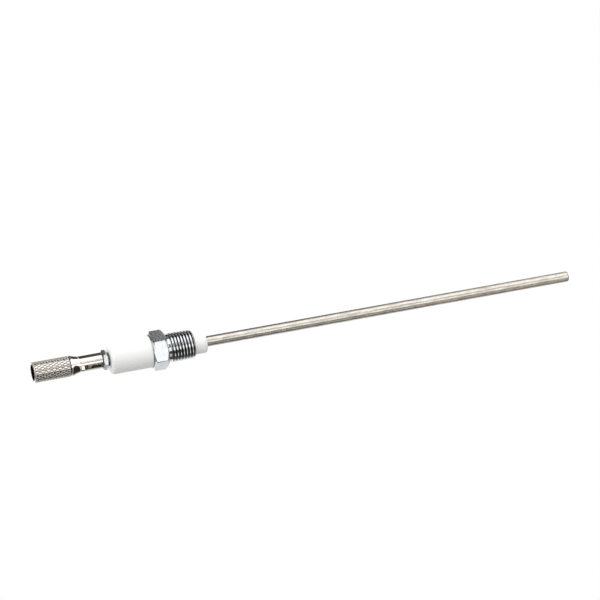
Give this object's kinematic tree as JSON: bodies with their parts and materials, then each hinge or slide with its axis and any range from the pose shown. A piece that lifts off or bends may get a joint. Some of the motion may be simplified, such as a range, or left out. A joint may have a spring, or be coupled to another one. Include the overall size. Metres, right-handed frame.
{
  "type": "flame sensor probe",
  "caption": "Flame sensing electrode: long metal rod in a ceramic insulator with a hexagon pipe-thread shell and a knurled push-on cable terminal.",
  "frame": {"origin": "on the probe's axis, in the plane of the hexagon's front face, where the pipe thread begins", "axes": "+X along the axis towards the electrode's tip, +Z square to a pair of the hexagon's flats and up, +Y to the left of +X seen from above"},
  "size_m": [0.2539, 0.0184, 0.0158],
  "materials": {
    "plated_steel": "bright zinc plate, satin",
    "zinc_steel": "bright zinc plate, slightly blue",
    "ceramic": "dense white ceramic, half gloss",
    "rod_alloy": "drawn heat-resisting alloy, fine lengthwise marks",
    "nickel_brass": "bright nickel plate on brass",
    "stud_brass": "turned brass",
    "spring_bronze": "plated spring bronze",
    "copper": "soft copper, dull",
    "cement": "fired bonding cement, rough"
  },
  "bodies": {
    "probe": {"hex_shell": "plated_steel", "insulator": "ceramic", "seat_gasket": "copper", "bonding_cement": "cement", "rod_seal_washer": "copper", "electrode_rod": "rod_alloy", "lock_washer": "zinc_steel", "terminal_nut": "zinc_steel", "terminal_stud": "stud_brass"},
    "snap_spring": {"cage_spring": "spring_bronze"},
    "connector": {"connector_body": "nickel_brass", "contact_point": "stud_brass"},
    "grip": {"cable_grip_ring": "stud_brass"},
    "ferrule": {"knurled_ferrule": "nickel_brass"}
  },
  "joints": [
    {"name": "connector_pull", "type": "slide", "parent": "probe", "child": "snap_spring", "axis": [-1, 0, 0], "range_m": [0, 0.015], "deforming": ["cage_spring"]},
    {"name": "connector_swivel", "type": "hinge", "parent": "snap_spring", "child": "connector", "pos_m": [0, 0, 0], "axis": [1, 0, 0], "continuous": true},
    {"name": "ferrule_advance", "type": "slide", "parent": "connector", "child": "grip", "axis": [-1, 0, 0], "range_m": [0, 0.003]},
    {"name": "ferrule_turn", "type": "hinge", "parent": "grip", "child": "ferrule", "pos_m": [0, 0, 0], "axis": [-1, 0, 0], "range_deg": [0, 1080]}
  ],
  "couplings": [
    {"joint": "ferrule_turn", "follows": "ferrule_advance", "rad_per_m": 6283.2}
  ]
}
